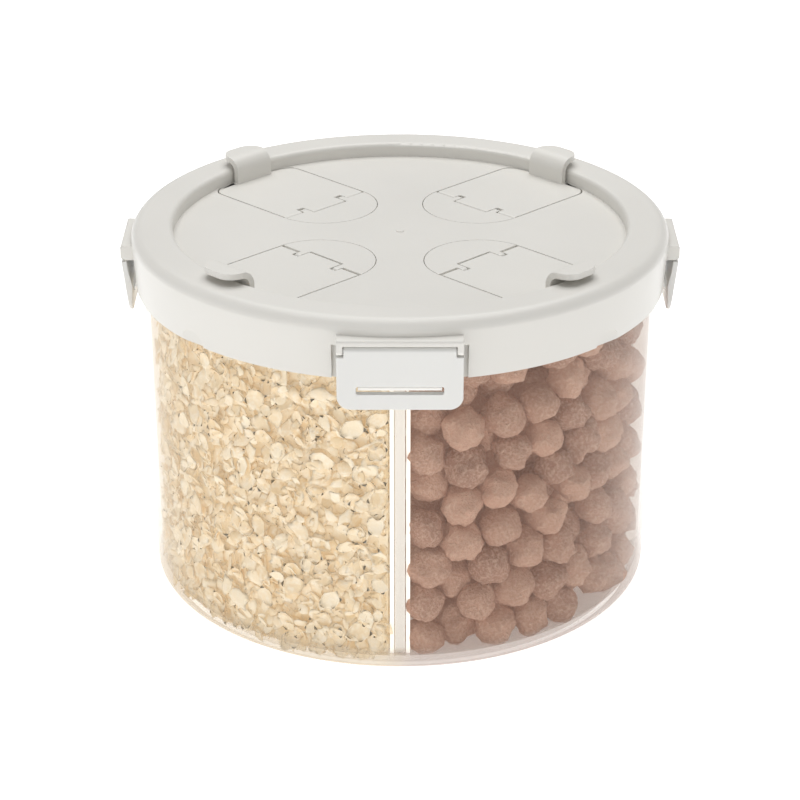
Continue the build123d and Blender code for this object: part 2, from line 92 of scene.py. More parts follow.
class ShaderSheet:
    """One material's node tree, with short ways to add and join its nodes."""

    def __init__(self, name: str) -> None:
        """Starts an empty node material.

        Args:
            name: The material's name.
        """
        self.material = bpy.data.materials.new(name)
        self.material.use_nodes = True
        self.tree = self.material.node_tree
        self.tree.nodes.clear()
        self.output = self.add("ShaderNodeOutputMaterial")
        self.place = self.add("ShaderNodeTexCoord").outputs["Object"]

    def add(self, kind: str, **settings: object) -> bpy.types.Node:
        """Adds one node.

        Args:
            kind: The node's type name.
            settings: Attributes to set on it.

        Returns:
            The new node.
        """
        node = self.tree.nodes.new(kind)
        for key, value in settings.items():
            setattr(node, key, value)
        return node

    def join(self, source: bpy.types.NodeSocket, target: bpy.types.NodeSocket) -> None:
        """Links two sockets."""
        self.tree.links.new(source, target)

    def noise(self, scale: float, detail: float = 2.0, roughness: float = 0.5) -> bpy.types.Node:
        """Adds a noise texture on the piece's own coordinates.

        Args:
            scale: Cells per metre.
            detail: Octaves.
            roughness: How strongly the finer octaves show.

        Returns:
            The noise node.
        """
        node = self.add("ShaderNodeTexNoise")
        node.inputs["Scale"].default_value = scale
        node.inputs["Detail"].default_value = detail
        node.inputs["Roughness"].default_value = roughness
        self.join(self.place, node.inputs["Vector"])
        return node

    def spread(self, source: bpy.types.NodeSocket, low: float, high: float) -> bpy.types.NodeSocket:
        """Maps a noise value onto a range.

        Args:
            source: A value from 0 to 1, mostly near its middle.
            low: What 0.3 becomes.
            high: What 0.7 becomes.

        Returns:
            The mapped value's socket.
        """
        node = self.add("ShaderNodeMapRange")
        node.inputs["From Min"].default_value = 0.3
        node.inputs["From Max"].default_value = 0.7
        node.inputs["To Min"].default_value = low
        node.inputs["To Max"].default_value = high
        self.join(source, node.inputs["Value"])
        return node.outputs["Result"]

    def blend(self, factor: bpy.types.NodeSocket, first: Colour, second: Colour) -> bpy.types.NodeSocket:
        """Mixes two colours by a factor.

        Args:
            factor: The mix, from 0 to 1.
            first: Linear colour at 0.
            second: Linear colour at 1.

        Returns:
            The mixed colour's socket.
        """
        node = self.add("ShaderNodeMix", data_type="RGBA")
        self.join(factor, node.inputs["Factor"])
        node.inputs["A"].default_value = (*first, 1.0)
        node.inputs["B"].default_value = (*second, 1.0)
        return node.outputs["Result"]

    def bump(self, height: bpy.types.NodeSocket, strength: float, distance: float) -> bpy.types.NodeSocket:
        """Turns a height into a bumped normal.

        Args:
            height: The height's socket.
            strength: Share of the effect.
            distance: Height of the relief in metres.

        Returns:
            The normal's socket.
        """
        node = self.add("ShaderNodeBump")
        node.inputs["Strength"].default_value = strength
        node.inputs["Distance"].default_value = distance
        self.join(height, node.inputs["Height"])
        return node.outputs["Normal"]


@dataclass(frozen=True)
class MouldedSatin:
    """Opaque moulded plastic with a fine satin grain."""

    name: str
    light: Colour
    dark: Colour
    rough_low: float = 0.30
    rough_high: float = 0.42
    cloud_scale: float = 14.0
    grain_scale: float = 2600.0
    grain_share: float = 0.35
    grain_depth: float = 0.02 * MM

    def material(self) -> bpy.types.Material:
        """Builds the finish's nodes.

        Returns:
            The material.
        """
        sheet = ShaderSheet(self.name)
        skin = sheet.add("ShaderNodeBsdfPrincipled")
        cloud = sheet.noise(self.cloud_scale, 3.0)
        grain = sheet.noise(self.grain_scale, 2.0)
        tone = sheet.spread(cloud.outputs["Fac"], 0.0, 1.0)
        sheet.join(sheet.blend(tone, self.dark, self.light), skin.inputs["Base Color"])
        gloss = sheet.spread(cloud.outputs["Fac"], self.rough_low, self.rough_high)
        sheet.join(gloss, skin.inputs["Roughness"])
        relief = sheet.bump(grain.outputs["Fac"], self.grain_share, self.grain_depth)
        sheet.join(relief, skin.inputs["Normal"])
        skin.inputs["IOR"].default_value = 1.46
        skin.inputs["Subsurface Weight"].default_value = 0.08
        skin.inputs["Subsurface Radius"].default_value = (1.0, 0.9, 0.8)
        skin.inputs["Subsurface Scale"].default_value = 0.0012
        sheet.join(skin.outputs["BSDF"], sheet.output.inputs["Surface"])
        return sheet.material


@dataclass(frozen=True)
class HazyClear:
    """Clear plastic with a haze that thickens where it is seen edge on, and a band near the base.

    Where a right-hand refraction colour is given, the haze colours are painted refraction of what lies
    behind the wall: the first colour is on the left half and the second on the right, and they fill the
    edge-on haze and the band near the base. The glow, where set, is painted light.
    """

    name: str
    haze_and_refraction: Colour
    tint: Colour
    haze_front: float
    haze_edge: float
    haze_curve: float = 3.0
    roughness: float = 0.12
    # Painted light: the right half's refraction colour, the share of the refraction band near the base, and
    # the glow.
    refraction_right: Colour | None = None
    refraction_base_share: float = 0.0
    painted_glow: float = 0.0
    cloud_scale: float = 22.0
    ripple_scale: float = 160.0
    ripple_depth: float = 0.08 * MM
    change_reach: float = 6.0 * MM
    base_top: float = 10.0 * MM
    base_full: float = 1.5 * MM

    def material(self) -> bpy.types.Material:
        """Builds the finish's nodes.

        Returns:
            The material.
        """
        sheet = ShaderSheet(self.name)
        see = sheet.add("ShaderNodeBsdfTransparent")
        see.inputs["Color"].default_value = (*self.tint, 1.0)
        body = sheet.add("ShaderNodeBsdfPrincipled")
        cloud = sheet.noise(self.cloud_scale, 2.0)
        ripple = sheet.noise(self.ripple_scale, 1.0)
        place = sheet.add("ShaderNodeSeparateXYZ")
        sheet.join(sheet.place, place.inputs["Vector"])
        if self.refraction_right is None:
            deep = tuple(0.98 * part for part in self.haze_and_refraction)
            tone = sheet.spread(cloud.outputs["Fac"], 0.0, 1.0)
            sheet.join(sheet.blend(tone, deep, self.haze_and_refraction), body.inputs["Base Color"])
        else:
            # Painted refraction: the left and right colours stand in for the cereal seen through the wall.
            across = self.ramp(sheet, place.outputs["X"], -self.change_reach, self.change_reach, 1.0)
            sheet.join(sheet.blend(across, self.haze_and_refraction, self.refraction_right), body.inputs["Base Color"])
        gloss = sheet.spread(cloud.outputs["Fac"], self.roughness, self.roughness + 0.06)
        sheet.join(gloss, body.inputs["Roughness"])
        sheet.join(sheet.bump(ripple.outputs["Fac"], 0.2, self.ripple_depth), body.inputs["Normal"])
        body.inputs["IOR"].default_value = 1.5
        # Painted glow: the body emits its haze colour, lightening it where it is shaded.
        body.inputs["Emission Color"].default_value = (*self.haze_and_refraction, 1.0)
        body.inputs["Emission Strength"].default_value = self.painted_glow
        facing = sheet.add("ShaderNodeLayerWeight")
        facing.inputs["Blend"].default_value = 0.5
        curve = sheet.add("ShaderNodeMath", operation="POWER")
        curve.inputs[1].default_value = self.haze_curve
        sheet.join(facing.outputs["Facing"], curve.inputs[0])
        amount = sheet.add("ShaderNodeMapRange")
        amount.inputs["To Min"].default_value = self.haze_front
        amount.inputs["To Max"].default_value = self.haze_edge
        sheet.join(curve.outputs["Value"], amount.inputs["Value"])
        thickest = sheet.add("ShaderNodeMath", operation="MAXIMUM")
        sheet.join(amount.outputs["Result"], thickest.inputs[0])
        # Painted refraction band: near the base more of the tinted body shows, standing in for the cereal
        # seen through the foot.
        near_base = self.ramp(sheet, place.outputs["Z"], self.base_top, self.base_full, self.refraction_base_share)
        sheet.join(near_base, thickest.inputs[1])
        mix = sheet.add("ShaderNodeMixShader")
        sheet.join(thickest.outputs["Value"], mix.inputs[0])
        sheet.join(see.outputs["BSDF"], mix.inputs[1])
        sheet.join(body.outputs["BSDF"], mix.inputs[2])
        sheet.join(mix.outputs["Shader"], sheet.output.inputs["Surface"])
        return sheet.material

    @staticmethod
    def ramp(
        sheet: ShaderSheet, value: bpy.types.NodeSocket, start: float, end: float, top: float
    ) -> bpy.types.NodeSocket:
        """Turns a place along an axis into a smooth rise.

        Args:
            sheet: The sheet that gets the node.
            value: The place along the axis.
            start: Where the rise starts from nothing.
            end: Where it is complete.
            top: How far it rises.

        Returns:
            The rise's socket.
        """
        rise = sheet.add("ShaderNodeMapRange", interpolation_type="SMOOTHSTEP")
        rise.inputs["From Min"].default_value = start
        rise.inputs["From Max"].default_value = end
        rise.inputs["To Max"].default_value = top
        sheet.join(value, rise.inputs["Value"])
        return rise.outputs["Result"]


@dataclass(frozen=True)
class SoftSeal:
    """Soft translucent silicone."""

    name: str
    light: Colour = (0.86, 0.86, 0.85)
    dark: Colour = (0.78, 0.78, 0.77)
    cloud_scale: float = 60.0
    grain_scale: float = 1500.0
    grain_depth: float = 0.03 * MM

    def material(self) -> bpy.types.Material:
        """Builds the finish's nodes.

        Returns:
            The material.
        """
        sheet = ShaderSheet(self.name)
        skin = sheet.add("ShaderNodeBsdfPrincipled")
        cloud = sheet.noise(self.cloud_scale, 3.0)
        tone = sheet.spread(cloud.outputs["Fac"], 0.0, 1.0)
        sheet.join(sheet.blend(tone, self.dark, self.light), skin.inputs["Base Color"])
        sheet.join(sheet.spread(cloud.outputs["Fac"], 0.42, 0.56), skin.inputs["Roughness"])
        relief = sheet.bump(sheet.noise(self.grain_scale).outputs["Fac"], 0.3, self.grain_depth)
        sheet.join(relief, skin.inputs["Normal"])
        skin.inputs["Subsurface Weight"].default_value = 0.4
        skin.inputs["Subsurface Radius"].default_value = (1.0, 1.0, 0.95)
        skin.inputs["Subsurface Scale"].default_value = 0.002
        sheet.join(skin.outputs["BSDF"], sheet.output.inputs["Surface"])
        return sheet.material


@dataclass(frozen=True)
class CerealSkin:
    """Dry cereal: matt, pitted, each piece a little different in tone, with a painted glow that lightens
    its shade.
    """

    name: str
    light: Colour
    dark: Colour
    spot: Colour
    pit_scale: float
    pit_depth: float
    painted_glow: float
    fleck_from: float = 0.46
    fleck_full: float = 0.66
    fleck_share: float = 0.7

    def material(self) -> bpy.types.Material:
        """Builds the finish's nodes.

        Returns:
            The material.
        """
        sheet = ShaderSheet(self.name)
        skin = sheet.add("ShaderNodeBsdfPrincipled")
        island = sheet.add("ShaderNodeNewGeometry").outputs["Random Per Island"]
        base = sheet.blend(island, self.dark, self.light)
        speck = sheet.noise(self.pit_scale, 4.0, 0.7)
        mix = sheet.add("ShaderNodeMix", data_type="RGBA")
        fleck = sheet.add("ShaderNodeMapRange")
        fleck.inputs["From Min"].default_value = self.fleck_from
        fleck.inputs["From Max"].default_value = self.fleck_full
        fleck.inputs["To Max"].default_value = self.fleck_share
        sheet.join(speck.outputs["Fac"], fleck.inputs["Value"])
        sheet.join(fleck.outputs["Result"], mix.inputs["Factor"])
        sheet.join(base, mix.inputs["A"])
        mix.inputs["B"].default_value = (*self.spot, 1.0)
        sheet.join(mix.outputs["Result"], skin.inputs["Base Color"])
        # Painted glow: the skin emits its own colour, filling the shade between the grains.
        sheet.join(mix.outputs["Result"], skin.inputs["Emission Color"])
        skin.inputs["Emission Strength"].default_value = self.painted_glow
        sheet.join(sheet.bump(speck.outputs["Fac"], 0.8, self.pit_depth), skin.inputs["Normal"])
        skin.inputs["Roughness"].default_value = 0.75
        sheet.join(skin.outputs["BSDF"], sheet.output.inputs["Surface"])
        return sheet.material


@dataclass(frozen=True)
class LitSweep:
    """The pale studio floor, faintly lit from within so that it stays even."""

    name: str
    albedo: float
    glow: float

    def material(self) -> bpy.types.Material:
        """Builds the finish's nodes.

        Returns:
            The material.
        """
        sheet = ShaderSheet(self.name)
        skin = sheet.add("ShaderNodeBsdfPrincipled")
        skin.inputs["Base Color"].default_value = (self.albedo, self.albedo, self.albedo, 1.0)
        skin.inputs["Roughness"].default_value = 0.9
        skin.inputs["Specular IOR Level"].default_value = 0.1
        skin.inputs["Emission Color"].default_value = (1.0, 1.0, 1.0, 1.0)
        skin.inputs["Emission Strength"].default_value = self.glow
        sheet.join(skin.outputs["BSDF"], sheet.output.inputs["Surface"])
        return sheet.material


# ---- small modelling helpers ---------------------------------------------------------------


def deselect() -> None:
    """Deselects everything, so that an operator acts only on what comes next."""
    for other in bpy.context.selected_objects:
        other.select_set(False)


def pick(obj: bpy.types.Object) -> None:
    """Deselects everything, then selects one object and makes it active.

    Args:
        obj: The object to work on.
    """
    deselect()
    obj.select_set(True)
    bpy.context.view_layer.objects.active = obj


def apply_modifiers(obj: bpy.types.Object) -> None:
    """Applies every modifier on an object, in order.

    Args:
        obj: The object to finish.
    """
    pick(obj)
    for modifier in list(obj.modifiers):
        bpy.ops.object.modifier_apply(modifier=modifier.name)


def merged_copy(node: str, name: str, flatten: bool = True) -> bpy.types.Object:
    """Copies a CAD node's mesh into a new piece and joins its loose triangles.

    Args:
        node: The CAD node to copy.
        name: The new piece's name.
        flatten: Whether flat runs of triangles become single faces.

    Returns:
        The new piece, with no material yet.
    """
    piece = bpy.data.objects.new(name, bpy.data.objects[node].data.copy())
    bpy.context.scene.collection.objects.link(piece)
    piece.data.materials.clear()
    pick(piece)
    bpy.ops.mesh.customdata_custom_splitnormals_clear()
    bpy.ops.object.mode_set(mode="EDIT")
    bpy.ops.mesh.select_all(action="SELECT")
    bpy.ops.mesh.remove_doubles(threshold=WELD)
    if flatten:
        bpy.ops.mesh.dissolve_limited(angle_limit=math.radians(FLAT_DEGREES))
    bpy.ops.object.mode_set(mode="OBJECT")
    return piece


def soften_edges(
    piece: bpy.types.Object, width: float, chosen: Callable[[Vector], bool], limit: float = 40.0
) -> None:
    """Rounds a piece's sharp edges where a test on their middles says so.

    Args:
        piece: The piece to soften.
        width: Width of the rounded edge in metres.
        chosen: Says by an edge's middle whether it is rounded.
        limit: Edges sharper than this many degrees count.
    """
    pick(piece)
    bpy.ops.object.mode_set(mode="EDIT")
    bpy.ops.mesh.select_mode(type="EDGE")
    bpy.ops.mesh.select_all(action="DESELECT")
    mesh = bmesh.from_edit_mesh(piece.data)
    for edge in mesh.edges:
        middle = (edge.verts[0].co + edge.verts[1].co) / 2
        sharp = edge.is_manifold and edge.calc_face_angle() > math.radians(limit)
        edge.select_set(sharp and chosen(middle))
    bmesh.update_edit_mesh(piece.data)
    bpy.ops.mesh.bevel(offset=width, segments=2, affect="EDGES", clamp_overlap=False)
    bpy.ops.object.mode_set(mode="OBJECT")


def even_shading(piece: bpy.types.Object) -> None:
    """Shades a piece smoothly, with its large flat faces kept flat.

    Args:
        piece: The piece to shade.
    """
    pick(piece)
    bpy.ops.object.shade_smooth_by_angle(angle=math.radians(SMOOTH_DEGREES))
    weighted = piece.modifiers.new("flat faces stay flat", "WEIGHTED_NORMAL")
    weighted.keep_sharp = True
    apply_modifiers(piece)


def softened_copy(node: str, name: str, width: float) -> bpy.types.Object:
    """Makes a merged copy of a CAD node with all its sharp edges rounded.

    Args:
        node: The CAD node to copy.
        name: The new piece's name.
        width: Width of the rounded edge in metres.

    Returns:
        The new piece, with no material yet.
    """
    piece = merged_copy(node, name)
    soften_edges(piece, width, lambda middle: True)
    even_shading(piece)
    return piece


def finish_piece(
    piece: bpy.types.Object, material: bpy.types.Material, slot: str, body: str, *nodes: str
) -> bpy.types.Object:
    """Dresses a piece, ties it to its body and lets it stand for CAD nodes.

    Args:
        piece: The finished piece.
        material: Its material.
        slot: The material slot that it follows; not used.
        body: The body that it moves with.
        nodes: The CAD nodes that it stands for.

    Returns:
        The same piece.
    """
    piece.data.materials.clear()
    piece.data.materials.append(material)
    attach(piece, body)
    if nodes:
        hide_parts(*nodes)
    return piece


# ---- the dispenser's sub-assemblies --------------------------------------------------------


@dataclass
class Tub:
    """The clear tub with its foot ring, guide rails and latch catches."""

    catch_low: float = 103.0 * MM
    catch_high: float = 108.0 * MM
    catch_root: float = 88.4 * MM
    rail_reach: float = 84.8 * MM
    rail_foot: float = 6.0 * MM

    def frosted_face(self, middle: Vector) -> bool:
        """Tells the latch catches and the guide rails from the clear wall.

        Args:
            middle: The middle of a face.

        Returns:
            True on a catch or a rail.
        """
        radius = middle.xy.length
        on_catch = self.catch_low < middle.z < self.catch_high and radius > self.catch_root
        return on_catch or (middle.z > self.rail_foot and radius < self.rail_reach)

    def build(self) -> list[bpy.types.Object]:
        """Builds and dresses the tub.

        Returns:
            The tub's one piece.
        """
        # The haze colours are painted refraction of the oats (beige, left) and the cocoa (brown, right)
        # behind the wall, at its edges and its foot.
        clear = HazyClear(
            "tub_clear",
            haze_and_refraction=(0.70, 0.60, 0.46),
            tint=(0.99, 0.985, 0.975),
            haze_front=0.04,
            haze_edge=0.66,
            haze_curve=3.2,
            refraction_right=(0.62, 0.53, 0.48),
            refraction_base_share=0.55,
        ).material()
        # Catches and rails: pale frosted plastic with a painted glow that lights the catches inside the
        # shaded latch slots.
        frosted = HazyClear(
            "tub_frosted",
            haze_and_refraction=(0.96, 0.945, 0.91),
            tint=(0.97, 0.97, 0.96),
            haze_front=1.0,
            haze_edge=1.0,
            roughness=0.3,
            painted_glow=0.28,
        ).material()
        shell = merged_copy("tub", "tub_shell", flatten=False)
        even_shading(shell)
        finish_piece(shell, clear, "clear_tub", "tub", "tub")
        shell.data.materials.append(frosted)
        for face in shell.data.polygons:
            face.material_index = int(self.frosted_face(face.center))
        return [shell]


@dataclass
class Divider:
    """The two half-lapped panels of the cross divider."""

    edge: float = 0.25 * MM

    def build(self) -> list[bpy.types.Object]:
        """Builds and dresses both panels.

        Returns:
            The lower and the upper panel.
        """
        # The glow is painted light on the milky panels.
        milky = HazyClear(
            "divider_milky",
            haze_and_refraction=(0.94, 0.91, 0.87),
            tint=(0.97, 0.96, 0.95),
            haze_front=0.86,
            haze_edge=0.97,
            haze_curve=2.0,
            painted_glow=0.12,
            roughness=0.25,
        ).material()
        made = []
        for part in ("lower", "upper"):
            panel = softened_copy(f"divider_{part}_panel", f"divider_{part}_sheet", self.edge)
            made.append(
                finish_piece(panel, milky, "divider", f"divider_{part}", f"divider_{part}_panel")
            )
        return made


@dataclass
class Lid:
    """The lid: rimmed plate with hatch trays, hinge plates and the seal ring."""

    edge: float = 0.3 * MM
    recess: float = 5.0 * MM
    hatch_reach: float = 75.5 * MM
    lug_root: float = 91.0 * MM

    def shell(self) -> bpy.types.Object:
        """Copies the lid and rounds the edges of its hatch trays and latch lugs.

        Returns:
            The lid's shell, with no material yet.
        """
        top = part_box("lid")[1].z
        plate = top - self.recess

        def chosen(middle: Vector) -> bool:
            """Tells the edges to round from the others.

            Args:
                middle: The middle of an edge.

            Returns:
                True on a hatch tray's upper edge or anywhere on a latch lug.
            """
            radius = middle.xy.length
            on_tray = abs(middle.z - plate) < 0.1 * MM and radius < self.hatch_reach
            return on_tray or (radius > self.lug_root and middle.z < plate + self.edge)

        piece = merged_copy("lid", "lid_shell", flatten=False)
        soften_edges(piece, self.edge, chosen)
        even_shading(piece)
        return piece

    def build(self) -> list[bpy.types.Object]:
        """Builds and dresses the lid, its hinge plates and its seal ring.

        Returns:
            The shell, the seal ring and the four hinge caps.
        """
        grey = MouldedSatin("lid_satin", light=(0.775, 0.757, 0.712), dark=(0.745, 0.727, 0.684)).material()
        seal = SoftSeal("seal_silicone").material()
        made = [finish_piece(self.shell(), grey, "lid_grey", "lid", "lid")]
        ring = softened_copy("lid_seal_ring", "lid_seal", self.edge)
        made.append(finish_piece(ring, seal, "seal", "lid", "lid_seal_ring"))
        for corner in Corner:
            name = corner.value
            plate = softened_copy(f"hinge_plate_{name}", f"hinge_cap_{name}", self.edge)
            made.append(finish_piece(plate, grey, "lid_grey", "lid", f"hinge_plate_{name}"))
        return made


@dataclass
class FlipCovers:
    """The four flip covers, each with its finger tab and its seal."""

    edge: float = 0.3 * MM

    def build(self) -> list[bpy.types.Object]:
        """Builds and dresses the covers and their seals.

        Returns:
            Each cover, followed by its seal.
        """
        grey = MouldedSatin("cover_satin", light=(0.78, 0.762, 0.715), dark=(0.75, 0.732, 0.688)).material()
        seal = SoftSeal("cover_silicone").material()
        made = []
        for corner in Corner:
            name = corner.value
            body = f"flip_cover_{name}"
            cover = softened_copy(body, f"cover_{name}", self.edge)
            made.append(finish_piece(cover, grey, "cover_grey", body, body))
            ring = softened_copy(f"flip_cover_seal_{name}", f"cover_seal_{name}", self.edge)
            made.append(finish_piece(ring, seal, "seal", body, f"flip_cover_seal_{name}"))
        return made


@dataclass
class Latches:
    """The four side latches."""

    edge: float = 0.4 * MM

    def build(self) -> list[bpy.types.Object]:
        """Builds and dresses the latches.

        Returns:
            The four latch flaps.
        """
        grey = MouldedSatin("latch_satin", light=(0.765, 0.76, 0.735), dark=(0.74, 0.735, 0.71)).material()
        made = []
        for side in Side:
            name = side.value
            flap = softened_copy(f"latch_{name}", f"latch_flap_{name}", self.edge)
            made.append(finish_piece(flap, grey, "latch_grey", f"latch_{name}", f"latch_{name}"))
        return made


# ---- what is kept in it: stage dressing, not part of the dispenser ---------------------------


@dataclass(frozen=True)
class Grain:
    """One modelled piece of cereal, with a half length of about 1, ready to be copied."""

    points: np.ndarray
    faces: np.ndarray


def model_grain(stretch: Sequence[float], lumps: float, cup: float, seed: float, detail: int) -> Grain:
    """Models one piece of cereal from a ball.

    Args:
        stretch: Its half sizes, with 1 as the longest.
        lumps: How far its skin swells and dents.
        cup: How far its rim curls up.
        seed: Which lump pattern it gets.
        detail: How finely the ball is divided.

    Returns:
        The modelled piece.
    """
    deselect()
    bpy.ops.mesh.primitive_ico_sphere_add(subdivisions=detail, radius=1.0)
    ball = bpy.context.object
    bpy.ops.object.mode_set(mode="EDIT")
    bpy.ops.transform.resize(value=stretch)
    bpy.ops.object.mode_set(mode="OBJECT")
    shift = Vector((seed, -seed, 2.0 * seed))
    points = []
    for vertex in ball.data.vertices:
        co = vertex.co
        swell = 1.0 + lumps * noise.noise(1.7 * co + shift) + 0.45 * lumps * noise.noise(3.6 * co + shift)
        points.append((co.x * swell, co.y * swell, co.z * swell + cup * (co.x**2 + 0.6 * co.y**2)))
    faces = [tuple(face.vertices) for face in ball.data.polygons]
    bpy.data.objects.remove(ball)
    return Grain(np.array(points), np.array(faces))


def random_turns(rng: np.random.Generator, count: int) -> np.ndarray:
    """Draws turning matrices.

    Args:
        rng: The seeded source of randomness.
        count: How many to draw.

    Returns:
        An array of count by 3 by 3.
    """
    quats = rng.normal(size=(count, 4))
    quats /= np.linalg.norm(quats, axis=1)[:, None]
    w, x, y, z = quats.T
    rows = (
        (1 - 2 * (y * y + z * z), 2 * (x * y - z * w), 2 * (x * z + y * w)),
        (2 * (x * y + z * w), 1 - 2 * (x * x + z * z), 2 * (y * z - x * w)),
        (2 * (x * z - y * w), 2 * (y * z + x * w), 1 - 2 * (x * x + y * y)),
    )
    return np.array(rows).transpose(2, 0, 1)


def facing_turns(normal: np.ndarray, rng: np.random.Generator) -> np.ndarray:
    """Turns flat grains to face some directions, each spun by chance about its own.

    Args:
        normal: Each grain's facing direction, of any length.
        rng: The seeded source of randomness.

    Returns:
        One turning matrix for each grain.
    """
    normal = normal / np.linalg.norm(normal, axis=1)[:, None]
    along = np.cross(normal, rng.normal(size=normal.shape))
    along /= np.linalg.norm(along, axis=1)[:, None]
    return np.stack([along, np.cross(normal, along), normal], axis=2)


def scatter(
    name: str,
    grains: Sequence[Grain],
    places: np.ndarray,
    turns: np.ndarray,
    sizes: np.ndarray,
    material: bpy.types.Material,
) -> bpy.types.Object:
    """Copies modelled grains to many places in one staged mesh.

    Args:
        name: The object's name.
        grains: The modelled shapes, used in turn.
        places: Where each copy's middle goes, in metres.
        turns: Each copy's turning matrix.
        sizes: Each copy's half length in metres.
        material: The material.

    Returns:
        The staged object.
    """
    points, faces, start = [], [], 0
    for index, (place, turn, size) in enumerate(zip(places, turns, sizes)):
        grain = grains[index % len(grains)]
        points.append(grain.points @ turn.T * size + place)
        faces.append(grain.faces + start)
        start += len(grain.points)
    co = np.concatenate(points).astype(np.float32)
    corners = np.concatenate(faces).astype(np.int32)
    mesh = bpy.data.meshes.new(name)
    mesh.vertices.add(len(co))
    mesh.vertices.foreach_set("co", co.ravel())
    mesh.loops.add(corners.size)
    mesh.loops.foreach_set("vertex_index", corners.ravel())
    mesh.polygons.add(len(corners))
    mesh.polygons.foreach_set("loop_start", np.arange(0, corners.size, 3, dtype=np.int32))
    mesh.update(calc_edges=True)
    mesh.shade_smooth()
    mesh.materials.append(material)
    heap = bpy.data.objects.new(name, mesh)
    bpy.context.scene.collection.objects.link(heap)
    return heap


@dataclass
class OatFill:
    """Rolled oats in the front left compartment, close behind the wall."""

    wall: float = 84.8 * MM
    depth: float = 9.0 * MM
    floor: float = 2.6 * MM
    top: float = 111.0 * MM
    panel: float = 3.9 * MM
    flakes: int = 4600
    top_flakes: int = 500
    side_flakes: int = 1300
    azimuths: tuple[float, float] = (181.0, 269.0)
    top_azimuths: tuple[float, float] = (183.0, 267.0)
    flake_sizes: tuple[float, float] = (1.7 * MM, 4.2 * MM)
    top_sizes: tuple[float, float] = (1.8 * MM, 3.3 * MM)
    side_sizes: tuple[float, float] = (1.8 * MM, 3.6 * MM)
    looseness: float = 0.4
    top_looseness: float = 0.35
    side_looseness: float = 0.18
    thickness: float = 0.12
    shapes: int = 4
    crowding: float = 1.3
    core_share: float = 0.45
    crown: float = 2.0 * MM
    strewn: float = 1.6 * MM
    seed: int = 11

    def build(self) -> list[bpy.types.Object]:
        """Heaps up the flakes over a plain core that fills the rest.

        Returns:
            The staged flakes, core and layers.
        """
        rng = np.random.default_rng(self.seed)
        skin = CerealSkin(
            "oat_skin",
            light=(0.97, 0.87, 0.69),
            dark=(0.84, 0.66, 0.42),
            spot=(0.98, 0.92, 0.81),
            pit_scale=420.0,
            pit_depth=0.00025,
            # painted glow that fills the shade between the flakes
            painted_glow=0.14,
        ).material()
        grains = [
            model_grain((1.0, 0.58 + 0.09 * k, 0.085), 0.6, 0.24 * (k - 1.5), 3.7 * k, 2)
            for k in range(self.shapes)
        ]
        azimuth = np.radians(rng.uniform(*self.azimuths, self.flakes))
        inward = self.depth * rng.random(self.flakes) ** self.crowding
        height = rng.uniform(self.floor, self.top, self.flakes)
        sizes = rng.uniform(*self.flake_sizes, self.flakes)
        outward = self.out(azimuth)
        turns = facing_turns(outward + rng.normal(scale=self.looseness, size=outward.shape), rng)
        flatness = np.einsum("ij,ij->i", turns[:, :, 2], outward)
        reach = sizes * np.hypot(self.thickness, np.sqrt(1 - flatness**2))
        radius = self.wall - reach - inward
        places = np.stack([radius * np.cos(azimuth), radius * np.sin(azimuth), height], axis=1)
        places[:, 0] = np.minimum(places[:, 0], -self.panel - sizes)
        places[:, 1] = np.minimum(places[:, 1], -self.panel - sizes)
        places[:, 2] = np.maximum(places[:, 2], self.floor + 0.6 * sizes)
        heap = scatter("oat_flakes", grains, places, turns, sizes, skin)
        made = [heap, self.core(skin), self.top_layer(grains, rng, skin)]
        return made + [self.side_layer(grains, rng, skin, axis) for axis in (0, 1)]

    @staticmethod
    def out(azimuth: np.ndarray) -> np.ndarray:
        """Gives the unit vectors that point outward at some azimuths."""
        return np.stack([np.cos(azimuth), np.sin(azimuth), np.zeros_like(azimuth)], axis=1)

    def core(self, skin: bpy.types.Material) -> bpy.types.Object:
        """Stands a quarter-round core behind the flakes.

        Args:
            skin: The flakes' material.

        Returns:
            The staged core.
        """
        deselect()
        radius = self.wall - self.core_share * self.depth
        height = self.top - self.floor - self.crown
        bpy.ops.mesh.primitive_cylinder_add(
            vertices=96, radius=radius, depth=height, location=(0.0, 0.0, self.floor + height / 2)
        )
        core = bpy.context.object
        core.name = "oat_core"
        bpy.ops.object.transform_apply(location=True, rotation=False, scale=False)
        bpy.ops.object.mode_set(mode="EDIT")
        for normal in ((1.0, 0.0, 0.0), (0.0, 1.0, 0.0)):
            place = tuple(-self.panel * part for part in normal)
            bpy.ops.mesh.select_all(action="SELECT")
            bpy.ops.mesh.bisect(plane_co=place, plane_no=normal, use_fill=True, clear_outer=True)
        bpy.ops.object.mode_set(mode="OBJECT")
        core.data.materials.append(skin)
        return core

    def top_layer(
        self, grains: Sequence[Grain], rng: np.random.Generator, skin: bpy.types.Material
    ) -> bpy.types.Object:
        """Strews flakes over the top of the heap, as seen through an open hatch.

        Args:
            grains: The modelled flakes.
            rng: The seeded source of randomness.
            skin: The flakes' material.

        Returns:
            The staged layer.
        """
        count = self.top_flakes
        azimuth = np.radians(rng.uniform(*self.top_azimuths, count))
        radius = (self.wall - 6.0 * MM) * np.sqrt(rng.uniform(0.01, 1.0, count))
        sizes = rng.uniform(*self.top_sizes, count)
        height = self.top - self.crown + self.strewn * rng.random(count)
        places = np.stack([radius * np.cos(azimuth), radius * np.sin(azimuth), height], axis=1)
        places[:, :2] = np.minimum(places[:, :2], -self.panel - sizes[:, None])
        normal = np.array([0.0, 0.0, 1.0]) + rng.normal(scale=self.top_looseness, size=(count, 3))
        return scatter("oat_top", grains, places, facing_turns(normal, rng), sizes, skin)

